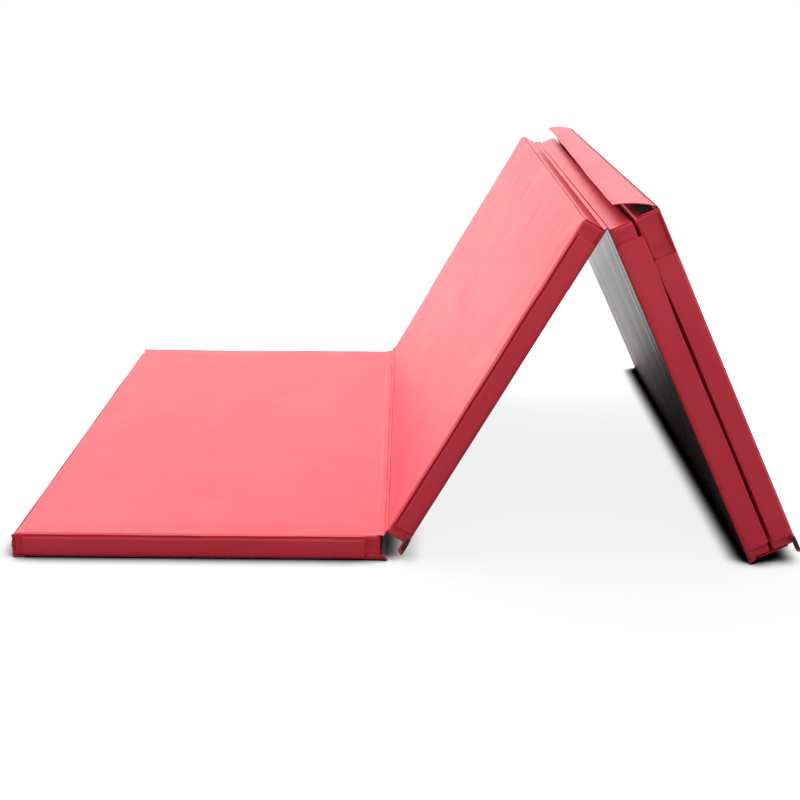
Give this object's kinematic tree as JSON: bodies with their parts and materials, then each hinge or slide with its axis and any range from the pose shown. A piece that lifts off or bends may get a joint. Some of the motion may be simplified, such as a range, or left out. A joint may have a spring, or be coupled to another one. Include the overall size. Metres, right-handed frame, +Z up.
{
  "type": "folding gym mat",
  "caption": "Folding gym mat: foam panels in red vinyl covers that fold in a zig-zag on fabric hinges, with hook-and-loop flaps along the sides and ends.",
  "frame": {"origin": "middle of the mat's outline on the floor, in the stored pose", "axes": "+X along the mat from the flat panel towards the peak, +Y across the mat from the near side to the far side, +Z up"},
  "size_m": [1.2686, 1.209, 0.5764],
  "materials": {
    "red_vinyl": "satin",
    "red_binding": "satin",
    "underside_sheet": "gloss",
    "foam": "matte",
    "hook_tape": "matte",
    "loop_tape": "matte"
  },
  "bodies": {
    "panel_a": {"foam_core_a": "foam", "cover_a": "red_vinyl", "underside_a": "underside_sheet", "side_binding_a_front": "red_binding", "side_hook_strip_a_front": "hook_tape", "side_binding_a_back": "red_binding", "side_hook_strip_a_back": "hook_tape", "end_binding_a": "red_binding", "end_hook_strip_a": "hook_tape", "hinge_web_ab": "red_vinyl"},
    "panel_b": {"foam_core_b": "foam", "cover_b": "red_vinyl", "underside_b": "underside_sheet", "side_binding_b_front": "red_binding", "side_hook_strip_b_front": "hook_tape", "side_binding_b_back": "red_binding", "side_hook_strip_b_back": "hook_tape", "hinge_web_bc": "red_vinyl"},
    "panel_c": {"foam_core_c": "foam", "cover_c": "red_vinyl", "underside_c": "underside_sheet", "side_binding_c_front": "red_binding", "side_hook_strip_c_front": "hook_tape", "side_binding_c_back": "red_binding", "side_hook_strip_c_back": "hook_tape", "hinge_web_cd": "red_vinyl"},
    "panel_d": {"foam_core_d": "foam", "cover_d": "red_vinyl", "underside_d": "underside_sheet", "side_binding_d_front": "red_binding", "side_hook_strip_d_front": "hook_tape", "side_binding_d_back": "red_binding", "side_hook_strip_d_back": "hook_tape", "end_binding_d": "red_binding", "end_hook_strip_d": "hook_tape"},
    "side_flap_a_front": {"side_flap_a_front": "red_vinyl", "side_loop_strip_a_front": "loop_tape"},
    "side_flap_a_back": {"side_flap_a_back": "red_vinyl", "side_loop_strip_a_back": "loop_tape"},
    "side_flap_b_front": {"side_flap_b_front": "red_vinyl", "side_loop_strip_b_front": "loop_tape"},
    "side_flap_b_back": {"side_flap_b_back": "red_vinyl", "side_loop_strip_b_back": "loop_tape"},
    "side_flap_c_front": {"side_flap_c_front": "red_vinyl", "side_loop_strip_c_front": "loop_tape"},
    "side_flap_c_back": {"side_flap_c_back": "red_vinyl", "side_loop_strip_c_back": "loop_tape"},
    "side_flap_d_front": {"side_flap_d_front": "red_vinyl", "side_loop_strip_d_front": "loop_tape"},
    "side_flap_d_back": {"side_flap_d_back": "red_vinyl", "side_loop_strip_d_back": "loop_tape"},
    "end_flap_a": {"end_flap_a": "red_vinyl", "end_loop_strip_a": "loop_tape"},
    "end_flap_d": {"end_flap_d": "red_vinyl", "end_loop_strip_d": "loop_tape"}
  },
  "joints": [
    {"name": "fold_ab", "type": "hinge", "parent": "panel_a", "child": "panel_b", "pos_m": [-0.03275, 0, 0.041], "axis": [0, 1, 0], "range_deg": [-120, 60], "deforming": ["hinge_web_ab"]},
    {"name": "fold_bc", "type": "hinge", "parent": "panel_b", "child": "panel_c", "pos_m": [0.30362, 0, 0.53961], "axis": [0, -1, 0], "range_deg": [-55.23, 124.77], "deforming": ["hinge_web_bc", "end_flap_d", "end_loop_strip_d"]},
    {"name": "fold_cd", "type": "hinge", "parent": "panel_c", "child": "panel_d", "pos_m": [0.59738, 0, 0.01476], "axis": [0, 1, 0], "range_deg": [0, 180], "deforming": ["hinge_web_cd"]},
    {"name": "open_side_flap_a_front", "type": "hinge", "parent": "panel_a", "child": "side_flap_a_front", "pos_m": [-0.33825, -0.6033, 0.0018], "axis": [1, 0, 0], "range_deg": [0, 90]},
    {"name": "open_side_flap_a_back", "type": "hinge", "parent": "panel_a", "child": "side_flap_a_back", "pos_m": [-0.33825, 0.6033, 0.0018], "axis": [-1, 0, 0], "range_deg": [0, 90]},
    {"name": "open_side_flap_b_front", "type": "hinge", "parent": "panel_b", "child": "side_flap_b_front", "pos_m": [0.15094, -0.6033, 0.28077], "axis": [0.5, 0, 0.866], "range_deg": [0, 90]},
    {"name": "open_side_flap_b_back", "type": "hinge", "parent": "panel_b", "child": "side_flap_b_back", "pos_m": [0.15094, 0.6033, 0.28077], "axis": [-0.5, 0, -0.866], "range_deg": [0, 90]},
    {"name": "open_side_flap_c_front", "type": "hinge", "parent": "panel_c", "child": "side_flap_c_front", "pos_m": [0.43489, -0.6033, 0.26762], "axis": [0.4263, 0, -0.9046], "range_deg": [0, 90]},
    {"name": "open_side_flap_c_back", "type": "hinge", "parent": "panel_c", "child": "side_flap_c_back", "pos_m": [0.43489, 0.6033, 0.26762], "axis": [-0.4263, 0, 0.9046], "range_deg": [0, 90]},
    {"name": "open_side_flap_d_front", "type": "hinge", "parent": "panel_d", "child": "side_flap_d_front", "pos_m": [0.51561, -0.6033, 0.28024], "axis": [-0.4263, 0, 0.9046], "range_deg": [0, 90]},
    {"name": "open_side_flap_d_back", "type": "hinge", "parent": "panel_d", "child": "side_flap_d_back", "pos_m": [0.51561, 0.6033, 0.28024], "axis": [0.4263, 0, -0.9046], "range_deg": [0, 90]},
    {"name": "open_end_flap_a", "type": "hinge", "parent": "panel_a", "child": "end_flap_a", "pos_m": [-0.63305, 0, 0.0018], "axis": [0, -1, 0], "range_deg": [0, 90]},
    {"name": "open_end_flap_d", "type": "hinge", "parent": "panel_d", "child": "end_flap_d", "pos_m": [0.37694, 0, 0.5745], "axis": [0, 1, 0], "range_deg": [-26, 64]}
  ]
}
